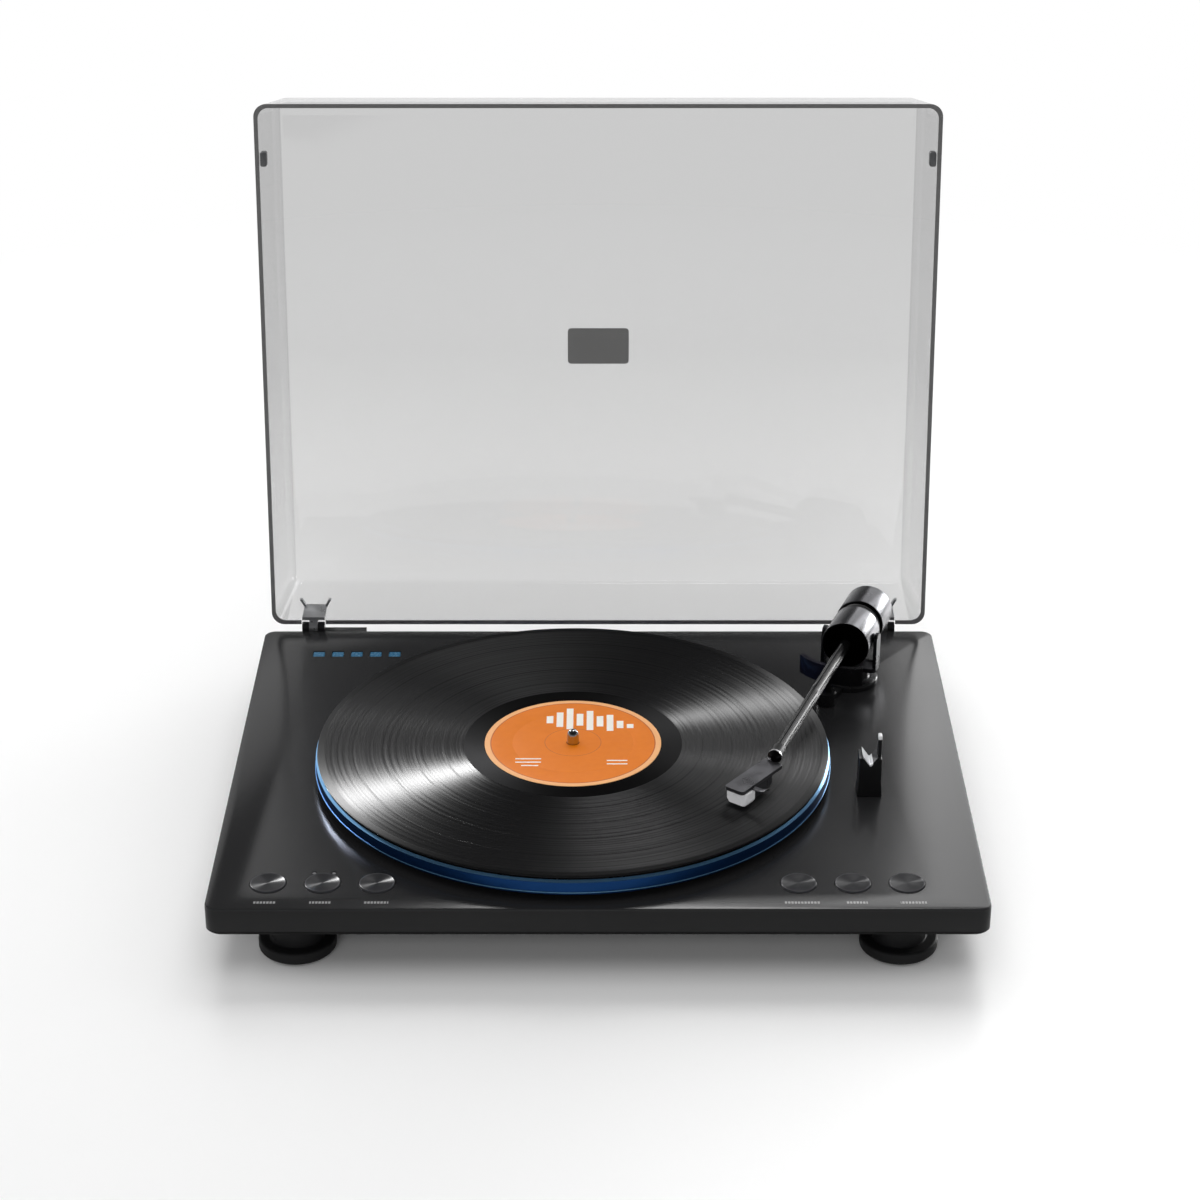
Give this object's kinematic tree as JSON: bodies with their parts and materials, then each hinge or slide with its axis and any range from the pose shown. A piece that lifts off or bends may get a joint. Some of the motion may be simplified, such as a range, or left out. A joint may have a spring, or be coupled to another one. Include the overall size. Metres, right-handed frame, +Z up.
{
  "type": "turntable",
  "caption": "Belt-drive record player: thin plinth on round feet, platter with a record, straight tonearm with counterweight, push buttons, and a clear hinged dust cover, open.",
  "frame": {"origin": "centre of the bounding box at the level that the feet stand on, with the cover open", "axes": "+Z up, -Y towards the front with the buttons, +X to the right, where the tonearm is"},
  "size_m": [0.431, 0.4504, 0.3792],
  "materials": {
    "plinth_plastic": "satin",
    "button_metal": "spun",
    "platter_alloy": "cast and machined",
    "blue_metal": "bright anodised",
    "rubber": "matte",
    "vinyl": "gloss",
    "label_paper": "matte",
    "steel": "satin",
    "brass": "turned",
    "circuit_board": "satin",
    "light_guide": "frosted",
    "arm_black": "gloss",
    "arm_tube_black": "gloss",
    "shell_grey": "satin painted",
    "silver_plastic": "satin silver",
    "dark_chrome": "dark polished",
    "gold": "gold plated",
    "clear_acrylic": "clear tinted gloss",
    "badge_print": "matte"
  },
  "bodies": {
    "plinth": {"top_casing": "plinth_plastic", "base_pan": "plinth_plastic", "foot_front_left": "plinth_plastic", "foot_front_right": "plinth_plastic", "foot_rear_left": "plinth_plastic", "foot_rear_right": "plinth_plastic", "foot_sole_front_left": "rubber", "foot_sole_front_right": "rubber", "foot_sole_rear_left": "rubber", "foot_sole_rear_right": "rubber", "bearing_bush": "brass", "motor": "steel", "drive_belt": "rubber", "button_board_left": "circuit_board", "button_board_right": "circuit_board", "deck_light_bars": "light_guide", "speed_lights": "light_guide", "main_board": "circuit_board", "phono_jacks": "plinth_plastic", "ground_post": "gold", "power_inlet": "plinth_plastic", "line_switch_body": "plinth_plastic", "arm_base": "arm_black", "arm_rest": "arm_black", "rest_cradle": "silver_plastic", "hinge_socket_left": "plinth_plastic", "hinge_socket_right": "plinth_plastic", "hinge_pin_left": "steel", "hinge_pin_right": "steel"},
    "turning_platter": {"platter": "platter_alloy", "platter_band": "blue_metal", "platter_mat": "rubber", "record": "vinyl", "record_label": "label_paper", "spindle": "steel"},
    "pulley": {"motor_pulley": "brass"},
    "arm_bearing": {"arm_yoke": "dark_chrome"},
    "tonearm": {"arm_drum": "arm_black", "arm_tube": "arm_tube_black", "headshell": "shell_grey", "finger_lift": "shell_grey", "cartridge": "rubber", "stylus_guard": "silver_plastic", "arm_stub": "dark_chrome"},
    "weight_carrier": {"weight_bushing": "dark_chrome"},
    "weight": {"counterweight": "dark_chrome"},
    "lifter": {"arm_lifter": "arm_black"},
    "cover": {"dust_cover": "clear_acrylic", "cover_badge": "badge_print", "cover_bumper_left": "rubber", "cover_bumper_right": "rubber", "hinge_leaf_left": "dark_chrome", "hinge_leaf_right": "dark_chrome"},
    "line_switch": {"line_switch_knob": "plinth_plastic"},
    "power_button": {"button_power": "button_metal"},
    "speed_button": {"button_speed": "button_metal"},
    "source_button": {"button_source": "button_metal"},
    "start_button": {"button_start": "button_metal"},
    "lift_button": {"button_lift": "button_metal"},
    "stop_button": {"button_stop": "button_metal"}
  },
  "joints": [
    {"name": "platter_spin", "type": "hinge", "parent": "plinth", "child": "turning_platter", "pos_m": [-0.0149, -0.06598, 0.042], "axis": [0, 0, 1], "continuous": true},
    {"name": "pulley_spin", "type": "hinge", "parent": "plinth", "child": "pulley", "pos_m": [-0.09622, 0.01534, 0.042], "axis": [0, 0, 1], "continuous": true},
    {"name": "tonearm_swing", "type": "hinge", "parent": "plinth", "child": "arm_bearing", "pos_m": [0.1574, 0.04362, 0.073], "axis": [0, 0, 1], "range_deg": [-18, 19.9]},
    {"name": "tonearm_lift", "type": "hinge", "parent": "arm_bearing", "child": "tonearm", "pos_m": [0.1574, 0.04362, 0.073], "axis": [-0.9403, 0.3404, 0], "range_deg": [0, 8]},
    {"name": "weight_slide", "type": "slide", "parent": "tonearm", "child": "weight_carrier", "axis": [0.3404, 0.9403, 0], "range_m": [-0.002, 0.008]},
    {"name": "weight_spin", "type": "hinge", "parent": "weight_carrier", "child": "weight", "pos_m": [0.1574, 0.04362, 0.073], "axis": [0.3404, 0.9403, 0], "range_deg": [-360, 1440]},
    {"name": "arm_lifter_slide", "type": "slide", "parent": "plinth", "child": "lifter", "axis": [0, 0, 1], "range_m": [0, 0.00496]},
    {"name": "cover_hinge", "type": "hinge", "parent": "plinth", "child": "cover", "pos_m": [0, 0.11587, 0.0434], "axis": [1, 0, 0], "range_deg": [0, 97.5]},
    {"name": "power_button_press", "type": "slide", "parent": "plinth", "child": "power_button", "axis": [0, 0, -1], "range_m": [0, 0.001], "stiffness_N_per_m": 600},
    {"name": "speed_button_press", "type": "slide", "parent": "plinth", "child": "speed_button", "axis": [0, 0, -1], "range_m": [0, 0.001], "stiffness_N_per_m": 600},
    {"name": "source_button_press", "type": "slide", "parent": "plinth", "child": "source_button", "axis": [0, 0, -1], "range_m": [0, 0.001], "stiffness_N_per_m": 600},
    {"name": "start_button_press", "type": "slide", "parent": "plinth", "child": "start_button", "axis": [0, 0, -1], "range_m": [0, 0.001], "stiffness_N_per_m": 600},
    {"name": "lift_button_press", "type": "slide", "parent": "plinth", "child": "lift_button", "axis": [0, 0, -1], "range_m": [0, 0.001], "stiffness_N_per_m": 600},
    {"name": "stop_button_press", "type": "slide", "parent": "plinth", "child": "stop_button", "axis": [0, 0, -1], "range_m": [0, 0.001], "stiffness_N_per_m": 600},
    {"name": "line_switch_slide", "type": "slide", "parent": "plinth", "child": "line_switch", "axis": [1, 0, 0], "range_m": [0, 0.004]}
  ],
  "couplings": [
    {"joint": "pulley_spin", "follows": "platter_spin", "ratio": 14},
    {"joint": "arm_lifter_slide", "follows": "tonearm_lift", "m_per_rad": 0.03546},
    {"joint": "weight_spin", "follows": "weight_slide", "rad_per_m": 3141.6}
  ]
}
